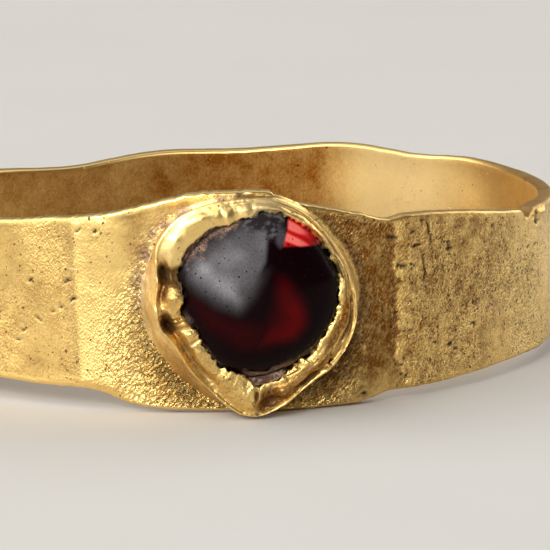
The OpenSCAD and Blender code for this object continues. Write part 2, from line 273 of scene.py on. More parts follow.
class RingColours(bpy.types.PropertyGroup):
    """Colours of the ring's materials"""

    gold: colour("Gold", "#F7D282", "Clean high-carat gold")
    # Also paints shade on the strap and the collar, and inside the hoop
    tarnish_and_shade: colour("Tarnish", "#865013", "Brown film on the gold")
    # Also paints shade between the grains and in the collar's dents
    soil_and_shade: colour("Soil", "#2E1C0E", "Burial soil in pits and hollows")
    violet: colour("Violet deposit", "#6E4A42", "Purple-brown deposit along the solder seam")
    # Also paints light at the back of the inner face and on the collar's lip
    clay_and_painted_light: colour("Clay", "#F0DCAC", "Pale clay dried on the collar's wall")
    garnet: colour("Garnet", "#0E0204", "Body of the dark stone")
    garnet_red: colour("Garnet red", "#BE0C0F", "Light that comes back through the stone")
    garnet_pink: colour("Garnet pink", "#F07C72", "Brightest streaks of that light")
    # Also paints the sheen of the big softbox on the stone
    stone_dust_and_sheen: colour("Stone dust", "#8B888A", "Wear and dust on the stone's skin")
    packing: colour("Packing", "#66493B", "Earthy packing round the stone")
    packing_pale: colour("Packing grains", "#B89E88", "Pale grains in the packing")
    floor: colour("Floor", "#C4C0B9", "Plain pale floor")


def light(name, brightness, words):
    """A setting for the brightness of a light."""
    return FloatProperty(name=name, description=words, default=brightness)


class StageSettings(bpy.types.PropertyGroup):
    """Camera and lights"""

    camera_turn: FloatProperty(
        name="Camera turn", description="Camera's bearing, from the front round by the right",
        subtype="ANGLE", default=math.radians(-7.5),
    )
    camera_rise: FloatProperty(
        name="Camera rise", description="Camera's angle above the level", subtype="ANGLE",
        default=math.radians(12),
    )
    camera_distance: length("Camera distance", 260, "From the finger's axis to the camera")
    aim_right: length("Aim right", 2.04, "Middle of the picture, right of the origin")
    aim_up: length("Aim up", 1.64, "Middle of the picture, above the origin")
    lens: FloatProperty(
        name="Lens", description="Focal length in mm on a 36 mm sensor", default=624.6,
    )
    key_light: light("Key light", 2.0, "Brightness of the big softbox")
    spark_light: light("Spark light", 18.0, "Brightness of the small panel in front")
    low_light: light("Low light", 2.5, "Brightness of the low panel on the left")
    side_light: light("Side light", 2.3, "Brightness of the panel on the right")
    back_light: light("Back light", 0.9, "Brightness of the panel behind")
    room_light: light("Room light", 0.06, "Brightness of the room round the set")


def smooth(rows, column, angles):
    """A smooth closed curve through one column of a table, read at angles in degrees."""
    table = np.array(rows, float)
    before, after = table[-2:].copy(), table[:3].copy()
    before[:, 0] -= 360
    after[:, 0] += 360
    table = np.vstack([before, table, after])
    x, y = table[:, 0], table[:, column]
    slope = np.zeros(len(x))
    slope[1:-1] = (y[2:] - y[:-2]) / (x[2:] - x[:-2])
    a = (np.asarray(angles, float) - rows[0][0]) % 360 + rows[0][0]
    i = np.searchsorted(x, a, side="right") - 1
    h = x[i + 1] - x[i]
    t = (a - x[i]) / h
    return (
        y[i] * (2 * t**3 - 3 * t**2 + 1) + slope[i] * h * (t**3 - 2 * t**2 + t)
        + y[i + 1] * (3 * t**2 - 2 * t**3) + slope[i + 1] * h * (t**3 - t**2)
    )


def eased(value, low, high):
    """Nothing below low, one above high, and a soft rise between them."""
    t = np.clip((value - low) / (high - low), 0, 1)
    return t * t * (3 - 2 * t)


def span(value, start, full, waning, end):
    """A stretch of a value: a soft rise from start to full, and a fall from waning to end."""
    return eased(value, start, full) * (1 - eased(value, waning, end))


def bell(value, width):
    """One where a value is nothing, and a soft fall on both sides of it over about a width."""
    return np.exp(-((value / width) ** 2))


def scattered(cell, seed):
    """The same random number from 0 to 1 each time for a cell of whole numbers."""
    n = cell[..., 0] * 73856093 ^ cell[..., 1] * 19349663 ^ cell[..., 2] * 83492791 ^ seed * 2654435
    n = (n ^ n >> 13) * 1274126177 & 0x7FFFFFFF
    return ((n ^ n >> 15) & 0xFFFF) / 65535


def swells(points, size, seed):
    """Soft random relief from -1 to 1, with lumps about as wide as size."""
    place = points / size
    cell = np.floor(place).astype(np.int64)
    share = place - cell
    share = share * share * (3 - 2 * share)
    total = 0
    for corner in np.ndindex(2, 2, 2):
        step = np.array(corner)
        weight = np.prod(np.where(step == 1, share, 1 - share), axis=-1)
        total = total + weight * scattered(cell + step, seed)
    return 2 * total - 1


def pebbles(points, size, seed):
    """Distance, in sizes, to the nearest of many scattered grains."""
    place = points / size
    cell = np.floor(place).astype(np.int64)
    nearest = np.full(place.shape[:-1], 9.0)
    for corner in np.ndindex(3, 3, 3):
        near = cell + np.array(corner) - 1
        middle = near + np.stack([scattered(near, seed + k) for k in range(3)], axis=-1)
        nearest = np.minimum(nearest, np.linalg.norm(place - middle, axis=-1))
    return nearest


def slanted(points, tilt, stretch):
    """Points turned in the plane of the stone's face, so that grains come out long and slanting."""
    c, s = math.cos(math.radians(tilt)), math.sin(math.radians(tilt))
    x, y, z = points[..., 0], points[..., 1], points[..., 2]
    return np.stack([(x * c + z * s) / stretch, y, z * c - x * s], axis=-1)


def softened(field, rows, columns):
    """A closed grid of numbers blurred over so many rows and columns."""
    wave = np.fft.rfft2(field)
    down = np.fft.fftfreq(field.shape[0])[:, None]
    over = np.fft.rfftfreq(field.shape[1])[None, :]
    return np.fft.irfft2(
        wave * np.exp(-2 * (np.pi * down * rows) ** 2 - 2 * (np.pi * over * columns) ** 2),
        s=field.shape,
    )


def inside(outline, across, up, blur):
    """One inside an outline, nothing outside it, and a soft border blur wide."""
    within = np.zeros(across.shape, bool)
    closed = [*outline, outline[0]]
    for (x1, y1), (x2, y2) in zip(closed, closed[1:]):
        crosses = (y1 > up) != (y2 > up)
        within ^= crosses & (across < x1 + (up - y1) * (x2 - x1) / ((y2 - y1) or 1e-9))
    distance = from_line(closed, across, up)
    return eased(np.where(within, distance, -distance), -blur, blur)


def from_line(line, across, up):
    """Distance to a line of straight stretches."""
    distance = np.full(across.shape, 9.0)
    for (x1, y1), (x2, y2) in zip(line, line[1:]):
        dx, dy = x2 - x1, y2 - y1
        along = np.clip(((across - x1) * dx + (up - y1) * dy) / (dx * dx + dy * dy), 0, 1)
        distance = np.minimum(distance, np.hypot(across - x1 - along * dx, up - y1 - along * dy))
    return distance


def on_hoop(angles, radius, height):
    """Points of the hoop, in mm."""
    turn = np.radians(angles)
    return np.stack(np.broadcast_arrays(radius * np.sin(turn), -radius * np.cos(turn), height), -1)


class Bezel:
    """Where the stone sits: its middle, the strap's outer radius and the dome's height."""

    def __init__(self, sizes):
        low, high = STONE_LOW / MM, STONE_HIGH / MM
        turns = np.arange(0, 360, 3)
        edge = smooth(STONE_ROWS, EDGE, turns)
        self.finger = sizes.finger_radius / MM
        self.outer = (sizes.finger_radius + sizes.strap_thickness) / MM
        self.x = high.x - np.max(edge * np.cos(np.radians(turns)))
        self.z = high.z - np.max(edge * np.sin(np.radians(turns)))
        self.girdle = sizes.stone_girdle / MM
        self.back = -high.y - self.outer
        self.top = -low.y - self.outer
        self.gap = sizes.gap / MM

    def point(self, angles, radius, height):
        """Points round the stone, with heights over the strap's front."""
        turn = np.radians(angles)
        return np.stack(
            np.broadcast_arrays(
                self.x + radius * np.cos(turn), -self.outer - height,
                self.z + radius * np.sin(turn),
            ), -1,
        )

    def wrap(self, angles, radius, wall):
        """Height of a cylinder of radius wall round the finger, against the strap's front."""
        across = self.x + radius * np.cos(np.radians(angles))
        return np.sqrt(wall * wall - across * across) - self.outer

    def dome(self, share):
        """Height of the stone's skin at a share of its edge's radius."""
        rise = self.top - self.girdle
        return self.girdle + rise * np.sqrt(1 - np.clip(share, 0, 1) ** 2)


def make_piece(name, points, faces, node, material, readings=None):
    """Adds a smooth mesh that rides on the ring and stands for a CAD node; points are in mm."""
    mesh = bpy.data.meshes.new(name)
    mesh.from_pydata((points.reshape(-1, 3) * MM).tolist(), [], faces)
    mesh.validate()
    mesh.shade_smooth()
    for label, values in (readings or {}).items():
        layer = mesh.attributes.new(label, "FLOAT", "POINT")
        layer.data.foreach_set("value", np.clip(values, 0, 1).astype(np.float32).ravel())
    piece = bpy.data.objects.new(name, mesh)
    bpy.context.scene.collection.objects.link(piece)
    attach(piece, "root")
    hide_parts(node)
    piece.data.materials.append(material)


def ring_faces(rings, count, closed):
    """Faces between neighbouring rings of count points; closed joins the last to the first."""
    s, p = np.meshgrid(np.arange(rings if closed else rings - 1), np.arange(count), indexing="ij")
    s2, p2 = (s + 1) % rings, (p + 1) % count
    quads = np.stack([s * count + p, s2 * count + p, s2 * count + p2, s * count + p2], -1)
    return quads.reshape(-1, 4).tolist()


def capped_rings(rings, first, last):
    """Points and faces of a stack of rings, with a middle point that closes each end."""
    levels, count = rings.shape[:2]
    faces = ring_faces(levels, count, closed=False)
    start = levels * count
    top = start - count
    for p in range(count):
        after = (p + 1) % count
        faces += [[p, after, start], [top + p, start + 1, top + after]]
    return np.vstack([rings.reshape(-1, 3), first, last]), faces


def grid_normals(points):
    """Outward directions on a closed grid of points."""
    along = np.roll(points, -1, axis=0) - np.roll(points, 1, axis=0)
    across = np.roll(points, -1, axis=1) - np.roll(points, 1, axis=1)
    normals = np.cross(along, across)
    return normals / np.maximum(np.linalg.norm(normals, axis=-1, keepdims=True), 1e-12)


def curve_through(knots, counts):
    """A smooth line through knots (first axis), with so many points from each to the next."""
    line = []
    last = len(knots) - 1
    for i, count in enumerate(counts):
        p0, p1 = knots[max(i - 1, 0)], knots[i]
        p2, p3 = knots[i + 1], knots[min(i + 2, last)]
        for t in np.arange(count) / count:
            line.append(
                0.5 * (2 * p1 + (p2 - p0) * t + (2 * p0 - 5 * p1 + 4 * p2 - p3) * t**2
                       + (3 * p1 - p0 - 3 * p2 + p3) * t**3)
            )
    return np.stack([*line, knots[-1]])


def foot_distance(bezel, angles, heights):
    """Angle round the stone, and distance outside the collar's foot, for points of the strap."""
    across = bezel.outer * np.sin(np.radians(angles)) - bezel.x
    up = heights - bezel.z
    turn = np.degrees(np.arctan2(up, across)) % 360
    away = np.hypot(across, up) - smooth(COLLAR_ROWS, FOOT, turn)
    front = np.cos(np.radians(angles)) > 0
    return turn, np.where(front, away, 9.0)


def mark_depth(rows, along, up):
    """Depth of a table's marks at places along and up, all in mm."""
    total = np.zeros(along.shape)
    for x, z, half_long, half_wide, tilt, depth in rows:
        reach = MARK_REACH * (half_long + half_wide)
        near = (np.abs(along - x) < reach) & (np.abs(up - z) < reach)
        if not near.any():
            continue
        c, s = math.cos(math.radians(tilt)), math.sin(math.radians(tilt))
        dx, dz = (along - x)[near], (up - z)[near]
        u, v = (dx * c + dz * s) / half_long, (dz * c - dx * s) / half_wide
        total[near] += depth * np.exp(-(u**4) - v**2)
    return total


def add_node(tree, kind, inputs=(), **settings):
    """Adds a node with its settings, and sets or links its inputs: a list of them in the order
    of the sockets, or a table by name or number."""
    node = tree.nodes.new(kind)
    for name, value in settings.items():
        setattr(node, name, value)
    for key, value in inputs.items() if isinstance(inputs, dict) else enumerate(inputs):
        if isinstance(value, bpy.types.NodeSocket):
            tree.links.new(value, node.inputs[key])
        else:
            node.inputs[key].default_value = value
    return node


# Sockets of the Mix node when it mixes colours
FACTOR, FIRST, SECOND, MIXED = 0, 6, 7, 2


def new_material(name):
    """An empty material, its node tree and the coordinates of the object that has it."""
    material = bpy.data.materials.new(name)
    material.use_nodes = True
    tree = material.node_tree
    tree.nodes.clear()
    return material, tree, add_node(tree, "ShaderNodeTexCoord").outputs["Object"]


def finished(material, inputs):
    """Gives a material its surface, which has these inputs."""
    tree = material.node_tree
    surface = add_node(tree, "ShaderNodeBsdfPrincipled", inputs).outputs["BSDF"]
    add_node(tree, "ShaderNodeOutputMaterial", {"Surface": surface})
    return material


def per(size_mm):
    """Scale of a pattern in object space whose cells are size_mm wide."""
    return 1 / (size_mm * MM)


def scattered_pits(tree, place, cell_mm, crowd, least, widest, border, most):
    """Pits in cells of a size. A cell has one where crowd and its own random number pass least.
    It reaches up to widest of a cell, with a soft border, and its middle comes to most."""
    cells = add_node(tree, "ShaderNodeTexVoronoi", {"Vector": place, "Scale": per(cell_mm)})
    chosen = add_node(
        tree, "ShaderNodeMath", [crowd, cells.outputs["Color"]], operation="ADD"
    ).outputs["Value"]
    radius = add_node(
        tree, "ShaderNodeMapRange", [chosen, least, 1.0, 0.0, widest]
    ).outputs["Result"]
    reach = add_node(
        tree, "ShaderNodeMath", [radius, cells.outputs["Distance"]], operation="SUBTRACT"
    ).outputs["Value"]
    return add_node(
        tree, "ShaderNodeMapRange", [reach, -border, 3 * border, 0.0, most]
    ).outputs["Result"]


def hammered_gold(name, colours, grit):
    """High-carat gold sheet, hammered and long buried: warm, satin highlights, with a brown film and
    soil in every hollow, tiny pits, and brighter metal where it has been rubbed. The film and the
    soil also carry painted shade, and the brighter metal carries painted highlights, where the
    readings put them."""
    material, tree, place = new_material(name)
    hollow, tarnish_and_shade, violet, pale, rubbed_and_highlit, melted, pitted = (
        add_node(tree, "ShaderNodeAttribute", attribute_name=label).outputs["Fac"]
        for label in ("hollow", "tarnish_and_shade", "violet", "pale", "rubbed_and_highlit", "melted", "pitted")
    )
    # Places shifted about in lumps of 0.07 mm, which gives pits and grains torn outlines
    ragged = add_node(
        tree, "ShaderNodeTexNoise", {"Vector": place, "Scale": per(0.07), "Detail": 1.0}
    ).outputs["Color"]
    torn = add_node(
        tree, "ShaderNodeVectorMath", [ragged, [0.09 * MM] * 3, place], operation="MULTIPLY_ADD"
    ).outputs["Vector"]
    # Places drawn out along slanting lines, for the skin, the grains and crossing scratches
    skin_place, grain_place, *scratch_places = (
        add_node(
            tree, "ShaderNodeMapping",
            {"Vector": source, "Rotation": (0, math.radians(lean), 0), "Scale": (1, 1, longer)},
            vector_type="TEXTURE",
        ).outputs["Vector"]
        for source, lean, longer in (
            (place, 38, 1.7), (torn, 38, 1.9), (place, 34, 4.0), (place, -50, 4.0)
        )
    )
    # Fine pebbled skin of the metal, about 0.05 mm, and stains 0.7 mm wide
    skin = add_node(
        tree, "ShaderNodeTexNoise",
        {"Vector": skin_place, "Scale": per(0.05), "Detail": 2.0, "Roughness": 0.7},
    ).outputs["Fac"]
    stain = add_node(
        tree, "ShaderNodeTexNoise",
        {"Vector": place, "Scale": per(0.7), "Detail": 4.0, "Roughness": 0.65},
    ).outputs["Fac"]
    # Torn pits of 0.02 to 0.09 mm in cells of two sizes, more of them where the metal is
    # pitted and in clusters that follow the stains
    crowd = add_node(
        tree, "ShaderNodeMath", [stain, 0.5, -0.29], operation="MULTIPLY_ADD"
    ).outputs["Value"]
    crowd = add_node(
        tree, "ShaderNodeMath", [pitted, 0.5, crowd], operation="MULTIPLY_ADD"
    ).outputs["Value"]
    wide, narrow = (
        scattered_pits(tree, torn, cell_mm, crowd, 0.64, 0.3, 0.04, 0.85)
        for cell_mm in (0.15, 0.08)
    )
    pit = add_node(tree, "ShaderNodeMath", [wide, narrow], operation="MAXIMUM").outputs["Value"]
    # Half-melted grains beside the solder, 0.08 mm wide and twice as long, with soil and painted
    # shade in the gaps between them
    beads = add_node(
        tree, "ShaderNodeTexVoronoi", {"Vector": grain_place, "Scale": per(0.08)}
    ).outputs["Distance"]
    between = add_node(tree, "ShaderNodeMapRange", [beads, 0.46, 0.6, 0.0, 0.68]).outputs["Result"]
    between = add_node(
        tree, "ShaderNodeMath", [between, melted], operation="MULTIPLY"
    ).outputs["Value"]

    # The film, with the shade painted in it, lies where the readings say, broken up by the stains
    # and the low skin
    film_and_shade = add_node(tree, "ShaderNodeMath", [stain, tarnish_and_shade], operation="ADD").outputs["Value"]
    low_skin = add_node(tree, "ShaderNodeMath", [0.5, skin], operation="SUBTRACT").outputs["Value"]
    break_up = add_node(tree, "ShaderNodeMapRange", [pitted, 0.0, 0.8, 0.7, 3.6]).outputs["Result"]
    film_and_shade = add_node(
        tree, "ShaderNodeMath", [low_skin, break_up, film_and_shade], operation="MULTIPLY_ADD"
    ).outputs["Value"]
    film_and_shade = add_node(tree, "ShaderNodeMapRange", [film_and_shade, 0.45, 1.65, 0.0, 1.0]).outputs["Result"]
    # Soil in pits and hollows, with the painted shade in the collar's dents
    dirt_and_shade = add_node(tree, "ShaderNodeMath", [pit, hollow], operation="MAXIMUM").outputs["Value"]
    dark = add_node(tree, "ShaderNodeMath", [dirt_and_shade, between], operation="MAXIMUM").outputs["Value"]
    base = (*colours.gold, 1)
    for share, tone in (
        (film_and_shade, colours.tarnish_and_shade), (rubbed_and_highlit, colours.gold), (dark, colours.soil_and_shade),
        (violet, colours.violet), (pale, colours.clay_and_painted_light),
    ):
        base = add_node(
            tree, "ShaderNodeMix", {FACTOR: share, FIRST: base, SECOND: (*tone, 1)},
            data_type="RGBA",
        ).outputs[MIXED]
    covered = dirt_and_shade
    for layer in (violet, pale):
        covered = add_node(
            tree, "ShaderNodeMath", [covered, layer], operation="MAXIMUM"
        ).outputs["Value"]
    metal = add_node(tree, "ShaderNodeMapRange", [covered, 0.0, 1.0, 1.0, 0.25]).outputs["Result"]
    rough = add_node(tree, "ShaderNodeMapRange", [film_and_shade, 0.0, 1.0, 0.32, 0.48]).outputs["Result"]
    rough = add_node(
        tree, "ShaderNodeMath", [melted, -0.17, rough], operation="MULTIPLY_ADD"
    ).outputs["Value"]

    # Relief: the skin, scratches about 0.05 mm wide and up to 0.2 mm long, grains, and pits
    bite = add_node(tree, "ShaderNodeMapRange", [pitted, 0.14, 0.8, 0.03, 1.0]).outputs["Result"]
    scratches = [
        add_node(
            tree, "ShaderNodeTexNoise", {"Vector": drawn, "Scale": per(0.045), "Detail": 1.0}
        ).outputs["Fac"]
        for drawn in scratch_places
    ]
    relief = add_node(
        tree, "ShaderNodeBump", {"Height": skin, "Strength": bite, "Distance": grit * MM}
    ).outputs["Normal"]
    for height, strength, depth_mm, sunk in (
        *((scratch, bite, 0.06, False) for scratch in scratches),
        (beads, melted, 0.2, True), (pit, 1.0, 0.04, True),
    ):
        relief = add_node(
            tree, "ShaderNodeBump",
            {"Height": height, "Strength": strength, "Distance": depth_mm * MM, "Normal": relief},
            invert=sunk,
        ).outputs["Normal"]
    return finished(
        material, {"Base Color": base, "Metallic": metal, "Roughness": rough, "Normal": relief}
    )


def polished_garnet(colours):
    """Dark garnet, ground to a dome and worn satin: nearly black, with a soft grey sheen that paints
    the big softbox's reflection, a red window and a deep red glow painted where light comes back
    through it, and dusty pits."""
    material, tree, place = new_material("garnet_polished_dome")
    window, glow, pink, crust, dust_and_sheen = (
        add_node(tree, "ShaderNodeAttribute", attribute_name=label).outputs["Fac"]
        for label in ("window", "glow", "pink", "crust", "dust_and_sheen")
    )
    # Pits of 0.02 to 0.05 mm in the polish
    pit = scattered_pits(tree, place, 0.12, 0.0, 0.25, 0.26, 0.02, 1.0)
    wear = add_node(
        tree, "ShaderNodeTexNoise", {"Vector": place, "Scale": per(0.5), "Detail": 5.0}
    ).outputs["Fac"]
    # Satin grain of the worn skin, about 0.05 mm, which also breaks up the painted sheen
    satin_sheen = add_node(
        tree, "ShaderNodeTexNoise",
        {"Vector": place, "Scale": per(0.05), "Detail": 2.0, "Roughness": 0.7},
    ).outputs["Fac"]
    satin_sheen = add_node(tree, "ShaderNodeMapRange", [satin_sheen, 0.3, 0.7, 0.75, 1.25]).outputs["Result"]
    dust_and_sheen_share = add_node(
        tree, "ShaderNodeMath", [dust_and_sheen, satin_sheen], operation="MULTIPLY", use_clamp=True
    ).outputs["Value"]
    crumbs = add_node(tree, "ShaderNodeMapRange", [satin_sheen, 0.9, 1.15, 0.0, 0.8]).outputs["Result"]
    earth = add_node(
        tree, "ShaderNodeMix",
        {FACTOR: crumbs, FIRST: (*colours.packing, 1), SECOND: (*colours.packing_pale, 1)},
        data_type="RGBA",
    ).outputs[MIXED]

    garnet = (*colours.garnet, 1)
    tones = [garnet]
    for share, tone in (
        (glow, (*colours.garnet_red, 1)), (window, (*colours.garnet_red, 1)),
        (pink, (*colours.garnet_pink, 1)), (dust_and_sheen_share, (*colours.stone_dust_and_sheen, 1)), (crust, earth),
        (pit, garnet),
    ):
        tones.append(add_node(
            tree, "ShaderNodeMix", {FACTOR: share, FIRST: tones[-1], SECOND: tone},
            data_type="RGBA",
        ).outputs[MIXED])
    # What shines out of the stone, a painted glow, has the colours under the dust and sheen, crust
    # and pits
    lit = tones[3]
    strength = add_node(
        tree, "ShaderNodeMath", [window, 0.07], operation="MULTIPLY"
    ).outputs["Value"]
    rough = add_node(tree, "ShaderNodeMapRange", [wear, 0.3, 0.75, 0.2, 0.3]).outputs["Result"]
    rough = add_node(
        tree, "ShaderNodeMath", [rough, crust], operation="ADD", use_clamp=True
    ).outputs["Value"]
    relief = add_node(
        tree, "ShaderNodeBump", {"Height": pit, "Strength": 1.0, "Distance": 0.012 * MM},
        invert=True,
    ).outputs["Normal"]
    return finished(
        material,
        {"Base Color": tones[-1], "Roughness": rough, "Normal": relief, "IOR": 1.5,
         "Specular IOR Level": 0.05, "Emission Color": lit, "Emission Strength": strength},
    )


def earthy_packing(colours):
    """Sulphur-and-clay packing, pressed in by hand: dull brown crumbs with paler grains."""
    material, tree, place = new_material("packing_crumbly_clay")
    # Mineral grains about 0.08 mm across
    grains = add_node(tree, "ShaderNodeTexVoronoi", {"Vector": place, "Scale": per(0.08)})
    pale = add_node(
        tree, "ShaderNodeMapRange", [grains.outputs["Color"], 0.45, 0.9, 0.0, 1.0]
    ).outputs["Result"]
    base = add_node(
        tree, "ShaderNodeMix",
        {FACTOR: pale, FIRST: (*colours.packing, 1), SECOND: (*colours.packing_pale, 1)},
        data_type="RGBA",
    ).outputs[MIXED]
    relief = add_node(
        tree, "ShaderNodeBump",
        {"Height": grains.outputs["Distance"], "Strength": 1.0, "Distance": 0.03 * MM},
        invert=True,
    ).outputs["Normal"]
    return finished(material, {"Base Color": base, "Roughness": 0.85, "Normal": relief})


def matt_board(colours):
    """Matt painted board: even and pale, with only the faintest mottling."""
    material, tree, place = new_material("floor_matt_board")
    # Faint mottling of the paint, about 8 mm across
    mottle = add_node(
        tree, "ShaderNodeTexNoise", {"Vector": place, "Scale": per(8.0), "Detail": 2.0}
    ).outputs["Fac"]
    share = add_node(tree, "ShaderNodeMapRange", [mottle, 0.0, 1.0, 0.0, 0.06]).outputs["Result"]
    base = add_node(
        tree, "ShaderNodeMix",
        {FACTOR: share, FIRST: (*colours.floor, 1), SECOND: (1.0, 1.0, 1.0, 1)},
        data_type="RGBA",
    ).outputs[MIXED]
    return finished(material, {"Base Color": base, "Roughness": 0.9})


def hoop_angles():
    """Section angles of the hoop, closest together where its face is seen."""
    stretches = [(-44, 34, 0.24), (34, 76, 0.4), (76, 116, 1.6), (116, 244, 0.8), (244, 316, 1.6)]
    return np.concatenate([np.arange(a, b - step / 2, step) for a, b, step in stretches])


def crease_offset(line, angles, heights, radius):
    """Distance in mm right of a crease, for points of the strap."""
    rows = np.array(line)
    return np.radians(angles - np.interp(heights, rows[:, 0], rows[:, 1])) * radius


class StrapFace:
    """The strap's outer face: its points, how they lie to collar and creases, and its relief."""

    def __init__(self, sizes, bezel, angles, heights, share):
        self.angles, self.heights = angles, heights
        self.skin = on_hoop(angles, bezel.outer, heights)
        self.turn, self.away = foot_distance(bezel, angles + 0 * heights, heights)
        self.left, self.fold, self.swell, self.right = (
            crease_offset(line, angles, heights, bezel.outer)
            for line in (LEFT_CREASE, LEFT_FOLD, LEFT_SWELL, RIGHT_CREASE)
        )
        self.left += 0.03 * swells(self.skin, 0.4, 10)
        self.right += 0.16 * swells(self.skin, 0.6, 8) + 0.08 * swells(self.skin, 0.2, 9)
        # Half-melted grains surround the collar's foot, strongest below it on both sides
        below = np.maximum(bell(self.turn - 226, 40), 0.9 * bell(self.turn - 311, 34))
        self.grainy = bell(np.maximum(self.away, 0), 0.35 + 0.85 * below) * (0.3 + 0.7 * below)
        self.nicks = self.nick_depth(bezel)
        self.relief = self.total_relief(sizes, share)

    def nick_depth(self, bezel):
        """Depth of the strap's nicks and pits, whose outlines are torn."""
        marks = [
            (math.radians(a) * bezel.outer, z, MARK_LONG * long, MARK_WIDE * wide, tilt, depth)
            for a, z, long, wide, tilt, depth in STRAP_MARKS
        ]
        torn = 0.05 * swells(self.skin, 0.13, 11) + 0.03 * swells(self.skin, 0.06, 12)
        along = np.radians(self.angles) * bezel.outer
        return mark_depth(marks, along + torn, self.heights - torn[:, ::-1])

    def total_relief(self, sizes, share):
        """How far the face stands out in all; share runs from its lower to its upper edge."""
        skin, left, right = self.skin, self.left, self.right
        dents = swells(skin, 1.9, 1) + 0.5 * swells(skin, 0.9, 2) + 0.25 * swells(skin, 0.35, 3)
        relief = (sizes.dent_depth * dents - sizes.strap_dish * (1 - (2 * share - 1) ** 2)) / MM
        relief += 0.04 * np.exp(-np.abs(left) / np.where(left < 0, 0.06, 0.7))
        relief += 0.02 * bell(self.swell, 0.4) - 0.022 * bell(self.fold, 0.45)
        relief += 0.03 * eased(right, -0.07, 0.07) * np.exp(-np.maximum(right, 0) / 2.5)
        grain = 0.62 - pebbles(slanted(skin, 52, 1.7), 0.11, 20)
        grain = grain + 0.6 * swells(slanted(skin, 52, 1.5), 0.08, 21)
        relief += sizes.grain_height / MM * self.grainy * grain
        strokes = swells(slanted(skin, 60, 2.2), 0.1, 22) + swells(slanted(skin, -48, 2.2), 0.1, 23)
        relief += 0.007 * (0.3 + 0.7 * span(self.angles, 20, 30, 70, 90)) * strokes
        # Solder is drawn up to the collar's foot
        relief += 0.07 * bell(self.away, 0.11) - self.nicks
        # Wear takes most of the relief off the very edges
        return relief * (0.3 + 0.7 * eased(np.minimum(share, 1 - share), 0, 0.03))


def strap_readings(face, wall, count, outside, lining):
    """What the gold's material reads off the strap, for sections of count points. Outside and
    lining are the points of its outer and inner face, and wall is where the inner face lies."""
    angles, heights, skin = face.angles, face.heights, face.skin

    def spread(values, part):
        """Values on one part of the sections, and nothing on the rest."""
        grid = np.zeros((len(angles), count))
        grid[:, part] = values
        return grid

    relief = spread(face.relief, outside)
    sunk = softened(relief, 5, 4) - relief
    edge_like = np.ones(relief.shape)
    edge_like[:, 2:outside.stop - 2] = 0
    torn_away = span(angles, 56, 57, 66, 68) * eased(heights, 3.7, 3.8)
    hollow = np.clip(sunk / 0.035, 0, 1) * (1 - edge_like)
    hollow += spread(np.clip(face.nicks / 0.08, 0, 1) * (0.5 + 0.5 * torn_away), outside)

    filmed_rim = span(angles, 8, 14, 110, 130)
    flecks = eased(swells(slanted(skin, 52, 1.8), 0.075, 24), 0.25, 0.5)
    # Painted highlights: a band left of the fold and a line right of the left crease; and flecks of
    # brighter gold on the right
    bright = 0.6 * bell(face.fold + 0.3, 0.25) * eased(heights, 2.6, 3.8)
    bright += 0.6 * bell(face.left - 0.15, 0.2) + 0.25 * flecks * span(angles, 6, 12, 45, 65)
    rubbed_and_highlit = (0.55 - 0.4 * filmed_rim) * edge_like + np.clip(-sunk / 0.02, 0, 1)
    rubbed_and_highlit += spread(bright, outside)
    rubbed_and_highlit[:, lining] = 0

    # Film beside the collar on the right, where it also paints the collar's shade, and thinner
    # further on; painted shade left of the left crease, and right of the fold at the top
    film_and_shade = 1.35 * eased(angles, 8, 12) * (1 - eased(face.right, -0.2, 0.4))
    film_and_shade = film_and_shade * (1 - 0.8 * bell(heights, 1.1))
    worn_low = 1 - 0.6 * bell(heights, 1.3) * eased(angles, 32, 42)
    film_and_shade = np.maximum(film_and_shade, 0.62 * span(angles, 20, 26, 44, 60) * worn_low)
    film_and_shade += 0.3 * (1 - eased(face.left, -0.06, 0.02))
    film_and_shade += 0.04 * face.grainy + 0.55 * bell(face.fold - 0.25, 0.4) * eased(heights, 3.6, 4.4)
    mottle = swells(skin, 0.35, 42) + swells(slanted(skin, 52, 1.8), 0.14, 43)
    film_and_shade += 0.2 * mottle * span(angles, 8, 14, 50, 70)
    tarnish_and_shade = (0.5 + 0.4 * eased(angles, 57, 60)) * filmed_rim * edge_like
    tarnish_and_shade[:, outside] = film_and_shade
    tarnish_and_shade[:, lining] = smooth(INNER_FILM_AND_SHADE, 1, angles) + 0.2 * swells(wall, 2.2, 41)

    # Violet deposit in the notch at the top, and on the solder seam at the upper left
    specks = eased(swells(skin, 0.22, 40), -0.35, 0.35)
    notch = np.exp(-(((angles - 0.2) / 1.8) ** 4)) * eased(heights, 5.6, 5.7) * (0.8 + 0.2 * specks)
    seam = span(face.turn, 95, 108, 172, 200) * bell(face.away, 0.3) * (0.35 + 0.65 * specks)
    patches = 0.7 + 0.6 * swells(skin, 1.3, 13)
    return {
        "hollow": hollow, "tarnish_and_shade": tarnish_and_shade, "rubbed_and_highlit": rubbed_and_highlit,
        "violet": spread(0.95 * notch + 0.9 * seam, outside),
        "melted": spread(face.grainy * (1 - eased(heights, 5.3, 5.5)), outside),
        "pitted": spread((0.3 + 0.58 * span(angles, 8, 26, 55, 90)) * patches, outside),
        # A pale patch at the back of the inner face paints light on the wall there
        "pale": spread(0.3 * span(angles, 116, 132, 141, 150), lining),
    }


